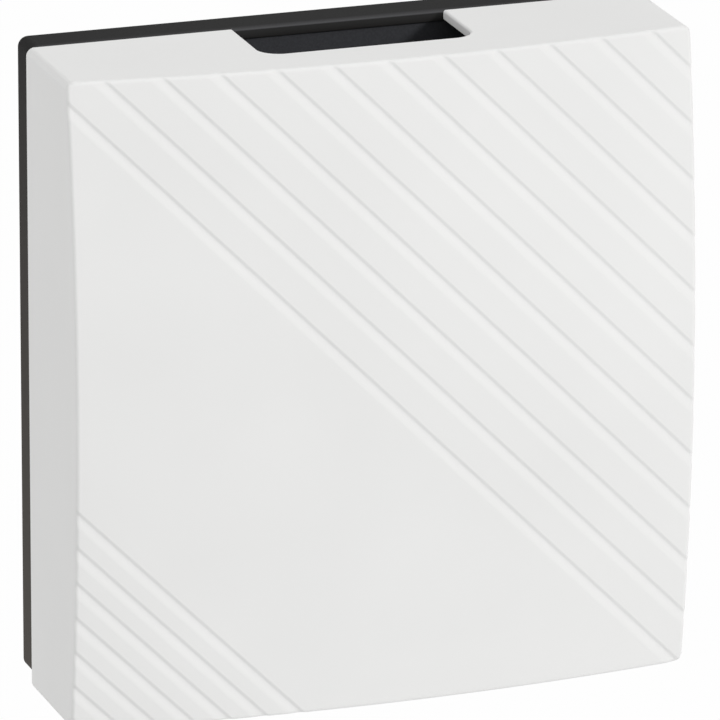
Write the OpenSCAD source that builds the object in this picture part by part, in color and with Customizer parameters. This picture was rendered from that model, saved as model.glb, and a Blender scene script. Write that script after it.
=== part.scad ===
// Wired two-note doorbell chime: dark wall base, white domed cover, tone plates and solenoid striker.
// Frame: millimetres, X to the right, Y into the wall, Z up.
// The origin is the middle of the base's rear face, so every depth below is measured forward from the wall.

/* [Cover] */
// Width of the cover
cover_w = 145; // [140:0.5:180]
// Height of the cover
cover_h = 149.6; // [145:0.1:190]
// Depth from the wall to the cover's front corners
corner_depth = 42; // [41:0.1:60]
// Radius of the domed front
dome_r = 486; // [440:1:1200]
// Thickness of the cover's four side walls
cover_wall = 2.2; // [1.8:0.1:3]
// Thickness of the domed front
front_wall = 2.6; // [2:0.1:3.5]
// Radius of the cover's four corners, seen from the front
cover_corner_r = 2.5; // [1:0.1:6]
// Gap seen between the base's rim and the cover's rear edge
seam_gap = 0.4; // [0.2:0.1:1]

/* [Sound slot] */
// Width of the slot in the cover's top wall
slot_w = 50.2; // [30:0.1:70]
// Reach of the slot, forward from the cover's rear edge
slot_reach = 21.7; // [10:0.1:24]
// Radius of the slot's two front corners
slot_corner_r = 5; // [1:0.1:6]

/* [Grooves] */
// Angle of the grooves, down from the horizontal to the right
groove_angle = 45.2; // [35:0.1:55]
// Depth of a groove
groove_depth = 0.55; // [0.3:0.05:1.2]
// Width of a groove's gentle lower-left slope
groove_slope = 2.1; // [0.8:0.1:3]
// Width of a groove's steep upper-right wall
groove_steep = 0.9; // [0.3:0.1:1.2]
// Number of grooves in the wide upper-right group
upper_grooves = 12; // [1:1:12]
// Distance between grooves in the upper-right group, along the dome
upper_pitch = 9.07; // [6:0.01:9.4]
// Place of the upper-right group's first groove, along the dome from its middle
upper_first = -1.66; // [-20:0.01:10]
// Number of grooves in the close lower-left group
lower_grooves = 7; // [1:1:7]
// Distance between grooves in the lower-left group, along the dome
lower_pitch = 5.95; // [4:0.01:6.2]
// Place of the lower-left group's first groove, along the dome from its middle
lower_first = -66.8; // [-70:0.01:-40]

/* [Base frame] */
// Step in from the cover's sides to the base's sides
base_inset_side = 1.9; // [0.5:0.1:2]
// Step in from the cover's top and bottom to the base's
base_inset_end = 0.9; // [0.5:0.1:2]
// Depth of the base's rim
rim_depth = 12.1; // [11:0.1:14]
// Thickness of the rim
rim_wall = 1.8; // [1.4:0.1:3]
// Radius of the base's corners
base_corner_r = 2.3; // [1:0.1:5]
// Thickness of the rib that crosses the base and carries the chassis plate
rib_t = 2.4; // [1.6:0.1:4]

/* [Chassis plate] */
// Step back from the rim's front edge to the chassis plate
plate_step = 0.7; // [0.3:0.1:1.2]
// Thickness of the chassis plate
floor_t = 2.2; // [1.6:0.1:3]
// Clearance round the chassis plate, inside the rim
plate_clear = 0.15; // [0.1:0.05:0.3]
// Radius of the chassis plate's corners
plate_corner_r = 1; // [0.6:0.1:3]

/* [Cover tongues] */
// Clearance between a tongue and the cover's wall
cover_clear = 0.35; // [0.3:0.05:0.6]
// Thickness of a tongue's root, on the chassis plate
tongue_t = 1.8; // [1.4:0.1:2.4]
// Clearance between the rim's front edge and the tongues that step out over it
tongue_step_gap = 0.2; // [0.1:0.05:0.4]
// Reach of the tongues in front of the chassis plate
tongue_reach = 6.5; // [4:0.5:10]
// Length of a tongue on the two sides and the bottom
tongue_len = 28; // [16:1:32]
// Length of a tongue on the top, beside the sound slot
top_tongue_len = 20; // [10:1:22]
// Middle of a side tongue above and below the chime's middle
side_tongue_z = 48; // [46:0.5:52]
// Middle of an end tongue to the left and right of the chime's middle
end_tongue_x = 50; // [47:0.5:51]

/* [Wall screws] */
// Distance between wall screws across
wall_screw_dx = 72; // [66:1:76]
// Distance between wall screws up and down
wall_screw_dz = 116; // [100:1:118]
// Radius of a wall screw's hole
wall_hole_r = 2.25; // [2:0.05:2.5]
// Outer radius of the spacer on a wall screw
spacer_r = 4.5; // [3.5:0.1:6]

/* [Tone plates] */
// Thickness of a tone plate
tone_t = 3.2; // [2:0.1:4]
// Width of a tone plate, front to back
tone_w = 22; // [16:0.5:24]
// Length of the low-note plate on the left
dong_len = 118; // [100:1:124]
// Length of the high-note plate on the right
ding_len = 106; // [100:1:124]
// Share of a free bar's length from its end to its still point
still_share = 0.224; // [0.22:0.001:0.23]

/* [Plate grommets] */
// Radius of a grommet's neck, inside the plate
grommet_neck_r = 4; // [3.4:0.1:4.6]
// Radius of a grommet's flanges
grommet_flange_r = 6; // [5.2:0.1:7]
// Thickness of a grommet's flange
grommet_flange_t = 1.3; // [0.8:0.1:2]
// Thickness of the lug behind a grommet
lug_t = 8.4; // [6:0.1:9]
// Width of a lug
lug_w = 13; // [12:0.5:18]
// Space between a lug and the cover's tongues
lug_gap = 0.8; // [0.6:0.1:3]

/* [Fasteners] */
// Radius of the plate screws' shoulder, inside the grommet
shoulder_r = 2; // [1.8:0.1:2.4]
// Radius of the plate screws' thread
plate_thread_r = 1.5; // [1.2:0.1:1.7]
// Length of the plate screws' thread
plate_thread_len = 7; // [4:0.5:7.5]
// Radius of the small screws' thread
small_thread_r = 1.5; // [1.2:0.1:1.7]
// Length of thread that a small screw has in the base
small_thread_len = 6; // [4:0.5:7]
// Wall of the boss round a small screw
small_boss_wall = 2; // [1.5:0.1:2.4]
// Width of a nut, across its flats
nut_w = 5.5; // [5:0.1:6]
// Thickness of a nut
nut_t = 2.4; // [1.8:0.1:3]
// Length of a screw's tail, past its nut
screw_tail = 0.8; // [0.4:0.1:1.5]
// Radius of a screw's head
head_r = 3; // [2.6:0.1:3.4]
// Height of a screw's head
head_h = 2.2; // [1.6:0.1:2.6]
// Width of the slot in a screw's head
drive_slot_w = 0.9; // [0.6:0.1:1.2]
// Clearance of a fixed piece in its hole
fixed_clear = 0.05; // [0.03:0.01:0.1]

/* [Solenoid] */
// Thickness of the solenoid frame's strip
frame_t = 1.6; // [1.2:0.1:2.4]
// Width of the solenoid frame
frame_w = 24; // [20:0.5:26]
// Length of the bobbin, between the frame's two uprights
bobbin_len = 40; // [34:0.5:44]
// Radius of the bobbin's flanges
bobbin_r = 12; // [11:0.1:12.5]
// Thickness of the bobbin's flanges
bobbin_flange_t = 1.6; // [1.2:0.1:2.4]
// Wall of the bobbin's core
bobbin_wall = 1.1; // [0.8:0.1:1.4]
// Space between the bobbin's flanges and the frame's back
coil_air = 1.4; // [0.6:0.1:3]
// Outer radius of the winding
winding_r = 10.5; // [8:0.1:10.6]
// Thickness of the tape round the winding
tape_t = 0.4; // [0.3:0.05:0.6]
// Clearance round the winding and its tape
wind_clear = 0.08; // [0.05:0.01:0.15]
// Reach of the frame's feet, beyond its uprights
foot_len = 11; // [10:0.5:13]
// Height of the bobbin's lead posts below its flanges
lead_post = 2.5; // [2:0.1:4]
// Width of a lead post
lead_post_w = 2; // [1.5:0.1:3]

/* [Plunger] */
// Radius of the plunger's steel core
core_r = 4.1; // [3.5:0.1:4.5]
// Running clearance of the core in its guide tube
run_clear = 0.1; // [0.06:0.01:0.1]
// Wall of the brass guide tube
tube_wall = 0.8; // [0.6:0.1:1.2]
// Reach of the guide tube, outside the frame's uprights
tube_reach = 1.4; // [0.8:0.1:2]
// Reach of the steel core, left of the spring's collar
core_stub = 1.5; // [0.8:0.1:2.5]
// End of the steel core, right of the coil's middle, at rest
core_right = 11; // [6:0.5:14]
// Radius of the striker tips
tip_r = 2.4; // [2:0.1:3]
// Radius of the striker tips' spigots, inside the core
spigot_r = 1.6; // [1.2:0.1:1.8]
// Length of a spigot
spigot_len = 6; // [3:0.5:10]
// Taper at the end of a striker tip
tip_taper = 0.8; // [0.4:0.1:1.4]
// Gap from the left tip to its plate, at rest
dong_gap = 2; // [1.9:0.1:4]
// Gap from the right tip to its plate, at rest
ding_gap = 8; // [7.9:0.1:10]

/* [Return spring] */
// Share of the way from the frame to the left plate that the spring takes up at rest
spring_share = 0.53; // [0.48:0.01:0.54]
// Radius of the spring, at the middle of its wire
spring_r = 6.2; // [6:0.1:7]
// Radius of the spring's wire
spring_wire_r = 0.3; // [0.25:0.05:0.4]
// Number of turns
spring_turns = 6; // [4:1:7]
// Space between the spring's ends and their seats
spring_end_gap = 0.15; // [0.1:0.05:0.3]
// Rim of the collar outside the spring
collar_rim = 0.8; // [0.4:0.1:1.2]
// Thickness of the collar
collar_t = 1.6; // [1.2:0.1:2.4]

/* [Terminals] */
// Distance between terminals
terminal_pitch = 14; // [12:0.5:15]
// Height of the terminal block, bottom to top
block_h = 13.5; // [12:0.5:16]
// Space below the terminal block, up from the base's bottom edge
block_rise = 15.4; // [11.2:0.1:17]
// Depth of the block's slab
slab_t = 6; // [5:0.1:8]
// Thickness of the ribs between terminals
divider_t = 1.6; // [1.2:0.1:2.4]
// Reach of the ribs in front of the slab
divider_reach = 5.5; // [4:0.5:8]
// Width of the ear at each end of the block
ear_w = 8; // [7.5:0.5:9]
// Width of a brass clamp
clamp_w = 10; // [8:0.5:10]
// Height of a brass clamp
clamp_h = 10.5; // [8:0.5:11]
// Thickness of a brass clamp
clamp_t = 1.2; // [0.8:0.1:2]
// Thickness of slab left behind a terminal screw's hole
terminal_floor = 1; // [0.6:0.1:2]

/* [Cable entry] */
// Middle of the cable entry, below the chime's middle
entry_drop = 28; // [24:0.5:32]
// Radius of the entry grommet's bore
entry_r = 3.2; // [2.5:0.1:4]
// Wall of the entry grommet's neck
entry_neck = 2.6; // [2:0.1:3.5]
// Reach of the entry grommet's flanges, beyond its neck
entry_flange = 2.2; // [1.5:0.1:3]
// Thickness of the entry grommet's flanges
entry_flange_t = 1.5; // [1:0.1:2.5]

/* [Hidden] */

$fn = 64;
// Facets of the large dome and of the rings that follow it
dome_fn = 360;
// Overlap of a cut past the surface it opens
past = 1;
// Overlap of two shapes that are one piece
weld = 0.2;
// Smallest radius of an inner corner
least_corner_r = 0.4;
// Turn of a groove's cut past the dome's corners, in degrees
groove_run_out = 2;

// Cover, from the outside in
half_w = cover_w / 2;
half_h = cover_h / 2;
half_diagonal = norm([half_w, half_h]);
apex_depth = corner_depth + dome_r - sqrt(dome_r ^ 2 - half_diagonal ^ 2);
dome_depth = apex_depth - dome_r;
cover_back = rim_depth + seam_gap;
room_w = cover_w - 2 * cover_wall;
room_h = cover_h - 2 * cover_wall;
groove_sweep = 2 * (asin(half_diagonal / dome_r) + groove_run_out);
// How far a groove's cut stands past the dome
groove_over = 0.3;

// Base frame and chassis plate
base_w = cover_w - 2 * base_inset_side;
base_h = cover_h - 2 * base_inset_end;
floor_front = rim_depth - plate_step;
floor_back = floor_front - floor_t;
plate_half_w = base_w / 2 - rim_wall - plate_clear;
plate_half_h = base_h / 2 - rim_wall - plate_clear;
tongue_x = plate_half_w - tongue_t;
tongue_z = plate_half_h - tongue_t;
tongue_step_w = room_w / 2 - cover_clear - tongue_x;
tongue_step_h = room_h / 2 - cover_clear - tongue_z;
tongue_step = rim_depth + tongue_step_gap;
tongue_front = floor_front + tongue_reach;

// Solenoid, plunger and plates share one axis along X
axis_depth = floor_front + frame_t + bobbin_r + coil_air;
upright_in = bobbin_len / 2;
upright_out = upright_in + frame_t;
tube_bore_r = core_r + run_clear;
tube_r = tube_bore_r + tube_wall;
bobbin_bore_r = tube_r + fixed_clear;
bobbin_core_r = bobbin_bore_r + bobbin_wall;
coil_half = bobbin_len / 2 - bobbin_flange_t - wind_clear;
foot_screw_x = upright_out + foot_len / 2;
upright_front = axis_depth + bobbin_r;

// Plates hang on the lugs, and the lugs stand inside the cover's tongues
lug_out = tongue_x - lug_gap;
lug_in = lug_out - lug_t;
lug_front = axis_depth + lug_w / 2;
tone_out = lug_in - grommet_flange_t;
tone_in = tone_out - tone_t;
grommet_bore_r = shoulder_r + fixed_clear;
plate_head_x = tone_in - grommet_flange_t;
dong_still_z = dong_len * (0.5 - still_share);
ding_still_z = ding_len * (0.5 - still_share);

// Plunger at rest
spring_len = spring_share * (tone_in - upright_out);
collar_face = -upright_out - spring_len;
core_left = collar_face - collar_t - core_stub;
left_tip_end = -tone_in + dong_gap;
right_tip_end = tone_in - ding_gap;
collar_r = spring_r + spring_wire_r + collar_rim;

// Terminals
block_drop = base_h / 2 - block_rise - block_h / 2;
block_half = 1.5 * terminal_pitch + divider_t / 2;
ear_screw_x = block_half + ear_w / 2;
slab_front = floor_front + slab_t;
clamp_front = slab_front + clamp_t;
terminal_x = [-terminal_pitch, 0, terminal_pitch];
small_boss_r = small_thread_r + small_boss_wall;
small_pilot_back = floor_front - small_thread_len - weld;

// Cable entry
entry_neck_r = entry_r + entry_neck;
entry_hole_r = entry_neck_r + fixed_clear;

// Coil leads: each runs from a lead post on the bobbin to the top edge of an outer clamp
lead_r = 0.5;
lead_sides = 8;
lead_steps = 4;
lead_start = [-upright_in + bobbin_flange_t / 2, -axis_depth, -bobbin_r - lead_post];
lead_end = [-terminal_pitch, -slab_front - clamp_t / 2, -block_drop + clamp_h / 2];
// A lead's course, as shares of its way across, back and down
lead_course = [
    [0, 0, 0], [0, 0, 0.08], [0.04, 0.29, 0.23], [0.33, 0.82, 0.42],
    [0.71, 1, 0.64], [1, 1, 0.83], [1, 1, 1],
];
lead_points = [
    for (share = lead_course)
        [for (i = [0 : 2]) lead_start[i] + share[i] * (lead_end[i] - lead_start[i])]
];

// Spring helix
spring_sides = 6;
spring_rings_per_turn = 8;
spring_start = collar_face + spring_end_gap + spring_wire_r;
spring_end = -upright_out - spring_end_gap - spring_wire_r;
spring_rings = spring_turns * spring_rings_per_turn;

// Draws a flat outline, given as X and Z, from one depth to another
module between(back, front) {
    translate([0, -back, 0]) rotate([90, 0, 0]) linear_extrude(front - back) children();
}

// Turns what stands along Z to lie along X, on the striker's axis
module on_axis(x) {
    translate([x, -axis_depth, 0]) rotate([0, 90, 0]) children();
}

module rounded_rect(w, h, r) {
    square([w - 2 * r, h], center = true);
    square([w, h - 2 * r], center = true);
    for (x = [-1, 1], z = [-1, 1])
        translate([x * (w / 2 - r), z * (h / 2 - r)]) circle(r);
}

module ring(outer_r, inner_r, len) {
    difference() {
        cylinder(r = outer_r, h = len);
        translate([0, 0, -past]) cylinder(r = inner_r, h = len + 2 * past);
    }
}

// Slotted pan screw along Z: its thread below zero, its head above
module screw(thread_r, thread_len) {
    difference() {
        union() {
            translate([0, 0, -thread_len]) cylinder(r = thread_r, h = thread_len + weld);
            cylinder(r = head_r, h = head_h);
        }
        translate([-head_r - past, -drive_slot_w / 2, head_h / 2])
            cube([2 * (head_r + past), drive_slot_w, head_h]);
    }
}

// Puts a screw at a place on the base, with its head's underside at a depth
module screw_at(x, z, depth) {
    translate([x, -depth, z]) rotate([90, 0, 0]) children();
}

// Swept tubes
function unit(v) = v / norm(v);
function tube_ring(p, along, r, sides) =
    let (out = unit(cross(along, [1, 0, 0])), side = cross(unit(along), out))
    [for (k = [0 : sides - 1]) p + r * (cos(360 * k / sides) * out + sin(360 * k / sides) * side)];
function tube_along(pts, i) = pts[min(i + 1, len(pts) - 1)] - pts[max(i - 1, 0)];
function spline_point(a, b, c, d, t) =
    0.5 * (2 * b + (c - a) * t + (2 * a - 5 * b + 4 * c - d) * t ^ 2 + (3 * b - a - 3 * c + d) * t ^ 3);
function spline(pts, steps) =
    let (last = len(pts) - 1)
    [
        for (i = [0 : last - 1], s = [0 : steps - 1])
            spline_point(pts[max(i - 1, 0)], pts[i], pts[i + 1], pts[min(i + 2, last)], s / steps),
        pts[last],
    ];

module tube(pts, alongs, r, sides) {
    rings = len(pts);
    points = [for (i = [0 : rings - 1]) each tube_ring(pts[i], alongs[i], r, sides)];
    walls = [
        for (i = [0 : rings - 2], k = [0 : sides - 1])
            let (a = i * sides + k, b = i * sides + (k + 1) % sides)
            each [[a, b, b + sides], [a, b + sides, a + sides]],
    ];
    first_cap = [for (k = [1 : sides - 2]) [0, k + 1, k]];
    top = (rings - 1) * sides;
    last_cap = [for (k = [1 : sides - 2]) [top, top + k, top + k + 1]];
    polyhedron(points, concat(walls, first_cap, last_cap));
}

// Ring on the dome: a profile in the plane of the axis, swept about an axis through the dome's middle
module dome_ring(sweep) {
    rotate([0, 0, -90 - sweep / 2]) rotate_extrude(angle = sweep, $fn = dome_fn) children();
}

// One groove across the dome, at a distance along the dome from its middle
module groove(place) {
    bottom = place - groove_steep / 2;
    spread = (groove_depth + groove_over) / groove_depth;
    function on_dome(along, lift) =
        (dome_r + lift) * [cos(along / dome_r * 180 / PI), sin(along / dome_r * 180 / PI)];
    translate([0, -dome_depth, 0]) rotate([0, groove_angle, 0]) dome_ring(groove_sweep)
        polygon([
            on_dome(bottom, -groove_depth),
            on_dome(bottom + spread * groove_steep, groove_over),
            on_dome(bottom - spread * groove_slope, groove_over),
        ]);
}

module sound_slot_cut() {
    front = cover_back + slot_reach;
    translate([0, 0, half_h - cover_wall - past]) linear_extrude(cover_wall + 2 * past) {
        translate([-slot_w / 2, -front + slot_corner_r]) square([slot_w, slot_reach - slot_corner_r + past]);
        translate([-slot_w / 2 + slot_corner_r, -front])
            square([slot_w - 2 * slot_corner_r, slot_reach]);
        for (x = [-1, 1])
            translate([x * (slot_w / 2 - slot_corner_r), -front + slot_corner_r]) circle(slot_corner_r);
    }
}

module cover() color("white") {
    inner_corner_r = max(cover_corner_r - cover_wall, least_corner_r);
    difference() {
        intersection() {
            between(cover_back, apex_depth + past) rounded_rect(cover_w, cover_h, cover_corner_r);
            translate([0, -dome_depth, 0]) sphere(dome_r, $fn = dome_fn);
        }
        intersection() {
            between(cover_back - past, apex_depth) rounded_rect(room_w, room_h, inner_corner_r);
            translate([0, -dome_depth, 0]) sphere(dome_r - front_wall, $fn = dome_fn);
        }
        sound_slot_cut();
        for (i = [0 : upper_grooves - 1]) groove(upper_first + i * upper_pitch);
        for (i = [0 : lower_grooves - 1]) groove(lower_first - i * lower_pitch);
    }
}

// Locating tongues stand on the chassis plate, step out over the rim and end just inside the cover's walls
module tongue_row(side_t, end_t) {
    for (x = [0, 1], z = [-1, 1])
        mirror([x, 0]) translate([tongue_x, z * side_tongue_z - tongue_len / 2])
            square([side_t, tongue_len]);
    for (x = [-1, 1]) {
        translate([x * end_tongue_x - top_tongue_len / 2, tongue_z]) square([top_tongue_len, end_t]);
        translate([x * end_tongue_x - tongue_len / 2, -tongue_z - end_t]) square([tongue_len, end_t]);
    }
}

module tongues() {
    between(floor_back, tongue_front) tongue_row(tongue_t, tongue_t);
    between(tongue_step, tongue_front) tongue_row(tongue_step_w, tongue_step_h);
}

module lugs() {
    for (side = [[-1, dong_still_z], [1, ding_still_z]], z = [-1, 1])
        between(floor_back, lug_front)
            translate([side[0] * (lug_in + lug_t / 2), z * side[1]]) square([lug_t, lug_w], center = true);
}

// Rim that stands on the wall, crossed by a rib with a boss for each of the solenoid's foot screws
module base() color("#34363a") {
    inner_corner_r = max(base_corner_r - rim_wall, least_corner_r);
    difference() {
        union() {
            between(0, rim_depth) difference() {
                rounded_rect(base_w, base_h, base_corner_r);
                rounded_rect(base_w - 2 * rim_wall, base_h - 2 * rim_wall, inner_corner_r);
            }
            between(0, floor_back) square([base_w - rim_wall, rib_t], center = true);
            for (x = [-1, 1])
                between(small_pilot_back - rim_wall, floor_back)
                    translate([x * foot_screw_x, 0]) circle(small_boss_r);
        }
        for (x = [-1, 1])
            between(small_pilot_back, floor_back + past)
                translate([x * foot_screw_x, 0]) circle(small_thread_r + fixed_clear);
    }
}

module at_wall_screws() {
    for (x = [-1, 1], z = [-1, 1])
        translate([x * wall_screw_dx / 2, z * wall_screw_dz / 2]) children();
}

// Plate that lies on the rib, inside the rim, and carries the tongues, the lugs and all that sounds
module chassis_plate() color("#3a3b40") difference() {
    union() {
        between(floor_back, floor_front) rounded_rect(2 * plate_half_w, 2 * plate_half_h, plate_corner_r);
        tongues();
        lugs();
    }
    between(floor_back - past, floor_front + past) {
        at_wall_screws() circle(wall_hole_r);
        translate([0, -entry_drop]) circle(entry_hole_r);
        for (x = [-1, 1]) {
            translate([x * foot_screw_x, 0]) circle(small_thread_r + 2 * fixed_clear);
            translate([x * ear_screw_x, -block_drop]) circle(small_thread_r + 2 * fixed_clear);
        }
    }
    for (side = [[-1, dong_still_z], [1, ding_still_z]], z = [-1, 1])
        translate([side[0] * lug_in, -axis_depth, z * side[1]]) rotate([0, side[0] * 90, 0])
            translate([0, 0, -past])
                cylinder(r = plate_thread_r + fixed_clear, h = plate_thread_len + weld + past);
}

module wall_spacers() color("ivory")
    between(0, floor_back) at_wall_screws() difference() {
        circle(spacer_r);
        circle(wall_hole_r);
    }

// A steel bar on edge, with a grommet hole at each of its two still points
module tone_plate(side, bar_len, still_z) {
    difference() {
        translate([side * (tone_in + tone_t / 2), -axis_depth, 0])
            cube([tone_t, tone_w, bar_len], center = true);
        for (z = [-1, 1])
            translate([side * (tone_in - past), -axis_depth, z * still_z]) rotate([0, side * 90, 0])
                cylinder(r = grommet_neck_r + fixed_clear, h = tone_t + 2 * past);
    }
}

module tone_plate_dong() color("silver") tone_plate(-1, dong_len, dong_still_z);

module tone_plate_ding() color("silver") tone_plate(1, ding_len, ding_still_z);

// Places a shape, drawn along Z from a plate's inner grommet face outwards, at each of the four still points
module at_still_points() {
    for (side = [[-1, dong_still_z], [1, ding_still_z]], z = [-1, 1])
        translate([side[0] * plate_head_x, -axis_depth, z * side[1]])
            rotate([0, side[0] * 90, 0]) children();
}

module plate_grommets() color("#202020") at_still_points() difference() {
    union() {
        cylinder(r = grommet_flange_r, h = grommet_flange_t);
        cylinder(r = grommet_neck_r, h = tone_t + 2 * grommet_flange_t);
        translate([0, 0, tone_t + grommet_flange_t]) cylinder(r = grommet_flange_r, h = grommet_flange_t);
    }
    translate([0, 0, -past])
        cylinder(r = grommet_bore_r, h = tone_t + 2 * grommet_flange_t + 2 * past);
}

module plate_screws() color("gainsboro") at_still_points() {
    shoulder_len = tone_t + 2 * grommet_flange_t;
    rotate([180, 0, 0]) screw(plate_thread_r, shoulder_len + plate_thread_len);
    cylinder(r = shoulder_r, h = shoulder_len);
}

module solenoid_frame() color("lightsteelblue") difference() {
    union() {
        between(floor_front, floor_front + frame_t)
            square([2 * (upright_out + foot_len), frame_w], center = true);
        for (x = [-1, 1])
            between(floor_front, upright_front)
                translate([x * (upright_in + frame_t / 2), 0]) square([frame_t, frame_w], center = true);
    }
    on_axis(-upright_out - past) cylinder(r = tube_r + fixed_clear, h = 2 * (upright_out + past));
    for (x = [-1, 1])
        between(floor_front - past, floor_front + frame_t + past)
            translate([x * foot_screw_x, 0]) circle(small_thread_r + 2 * fixed_clear);
}

module frame_screws() color("gainsboro")
    for (x = [-1, 1])
        screw_at(x * foot_screw_x, 0, floor_front + frame_t)
            screw(small_thread_r, frame_t + small_thread_len);

module coil_bobbin() color("ivory") {
    on_axis(-upright_in) difference() {
        union() {
            cylinder(r = bobbin_r, h = bobbin_flange_t);
            cylinder(r = bobbin_core_r, h = bobbin_len);
            translate([0, 0, bobbin_len - bobbin_flange_t]) cylinder(r = bobbin_r, h = bobbin_flange_t);
            for (along = [0, bobbin_len - bobbin_flange_t])
                translate([bobbin_r - weld, -lead_post_w / 2, along])
                    cube([lead_post + weld, lead_post_w, bobbin_flange_t]);
        }
        translate([0, 0, -past]) cylinder(r = bobbin_bore_r, h = bobbin_len + 2 * past);
    }
}

module coil_winding() color("peru")
    on_axis(-coil_half) ring(winding_r, bobbin_core_r + wind_clear, 2 * coil_half);

module coil_tape() color("khaki")
    on_axis(-coil_half) ring(winding_r + wind_clear + tape_t, winding_r + wind_clear, 2 * coil_half);

module guide_tube() color("goldenrod")
    on_axis(-upright_out - tube_reach) ring(tube_r, tube_bore_r, 2 * (upright_out + tube_reach));

module plunger_core() color("slategray") {
    spigot_hole = spigot_r + fixed_clear;
    on_axis(core_left) difference() {
        cylinder(r = core_r, h = core_right - core_left);
        translate([0, 0, -past]) cylinder(r = spigot_hole, h = spigot_len + weld + past);
        translate([0, 0, core_right - core_left - spigot_len - weld])
            cylinder(r = spigot_hole, h = spigot_len + weld + past);
    }
}

module plunger_collar() color("ivory")
    on_axis(collar_face - collar_t) ring(collar_r, core_r + fixed_clear, collar_t);

// Striker rod along Z: its spigot below zero, its tapered end above
module striker_tip(tip_len) {
    translate([0, 0, -spigot_len]) cylinder(r = spigot_r, h = spigot_len + weld);
    cylinder(r = tip_r, h = tip_len - tip_taper);
    translate([0, 0, tip_len - tip_taper]) cylinder(r1 = tip_r, r2 = tip_r - tip_taper, h = tip_taper);
}

module striker_tip_left() color("ivory")
    on_axis(core_left) rotate([180, 0, 0]) striker_tip(core_left - left_tip_end);

module striker_tip_right() color("ivory") on_axis(core_right) striker_tip(right_tip_end - core_right);

function spring_point(i) =
    let (turn = 360 * i / spring_rings_per_turn)
    [
        spring_start + (spring_end - spring_start) * i / spring_rings,
        -axis_depth + spring_r * cos(turn),
        spring_r * sin(turn),
    ];
spring_path = [for (i = [0 : spring_rings]) spring_point(i)];
spring_alongs = [
    for (i = [0 : spring_rings])
        let (turn = 360 * i / spring_rings_per_turn, run = 2 * PI * spring_r * spring_turns)
        unit([(spring_end - spring_start) / run, -sin(turn), cos(turn)])
];
spring_gap = min([
    for (i = [0 : spring_rings], j = [i + spring_rings_per_turn / 2 : 1 : spring_rings])
        norm(spring_path[i] - spring_path[j])
]) - 2 * spring_wire_r;
echo(str("return_spring: least gap to itself ", spring_gap, " mm"));

module return_spring() color("gainsboro") tube(spring_path, spring_alongs, spring_wire_r, spring_sides);

// Slab with a rib on each side of three bays, and an ear with a screw hole at each end
module terminal_block() color("whitesmoke") difference() {
    union() {
        between(floor_front, slab_front)
            translate([0, -block_drop]) square([2 * (block_half + ear_w), block_h], center = true);
        for (i = [-1.5 : 1 : 1.5])
            between(floor_front, slab_front + divider_reach)
                translate([i * terminal_pitch, -block_drop]) square([divider_t, block_h], center = true);
    }
    for (x = terminal_x)
        between(floor_front + terminal_floor, slab_front + past)
            translate([x, -block_drop]) circle(small_thread_r + fixed_clear);
    for (x = [-1, 1])
        between(floor_front - past, slab_front + past)
            translate([x * ear_screw_x, -block_drop]) circle(small_thread_r + 2 * fixed_clear);
}

module terminal_clamps() color("gold")
    for (x = terminal_x)
        between(slab_front, clamp_front) translate([x, -block_drop]) difference() {
            square([clamp_w, clamp_h], center = true);
            circle(small_thread_r + 2 * fixed_clear);
        }

module terminal_screws() color("gainsboro")
    for (x = terminal_x)
        screw_at(x, -block_drop, clamp_front)
            screw(small_thread_r, clamp_t + slab_t - terminal_floor - weld);

module block_screws() color("gainsboro")
    for (x = [-1, 1])
        screw_at(x * ear_screw_x, -block_drop, slab_front)
            screw(small_thread_r, slab_t + floor_t + nut_t + screw_tail);

module block_nuts() color("gainsboro")
    for (x = [-1, 1])
        between(floor_back - nut_t, floor_back) translate([x * ear_screw_x, -block_drop]) difference() {
            circle(nut_w / sqrt(3), $fn = 6);
            circle(small_thread_r + fixed_clear);
        }

module lead() {
    path = spline(lead_points, lead_steps);
    last = len(path) - 1;
    alongs = [for (i = [0 : last]) i == 0 || i == last ? [0, 0, -1] : unit(tube_along(path, i))];
    tube(path, alongs, lead_r, lead_sides);
}

module coil_lead_left() color("firebrick") lead();

module coil_lead_right() color("royalblue") mirror([1, 0, 0]) lead();

module cable_grommet() color("#202020")
    translate([0, -floor_back, -entry_drop]) rotate([90, 0, 0]) difference() {
        union() {
            translate([0, 0, -entry_flange_t]) cylinder(r = entry_neck_r, h = floor_t + 2 * entry_flange_t);
            for (along = [-entry_flange_t, floor_t])
                translate([0, 0, along]) cylinder(r = entry_neck_r + entry_flange, h = entry_flange_t);
        }
        translate([0, 0, -entry_flange_t - past])
            cylinder(r = entry_r, h = floor_t + 2 * (entry_flange_t + past));
    }

base();
chassis_plate();
wall_spacers();
cover();
tone_plate_dong();
tone_plate_ding();
plate_grommets();
plate_screws();
solenoid_frame();
frame_screws();
coil_bobbin();
coil_winding();
coil_tape();
guide_tube();
plunger_core();
plunger_collar();
striker_tip_left();
striker_tip_right();
return_spring();
terminal_block();
terminal_clamps();
terminal_screws();
block_screws();
block_nuts();
coil_lead_left();
coil_lead_right();
cable_grommet();
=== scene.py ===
import math

import bmesh
import bpy
from mathutils import Matrix, Vector


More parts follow.
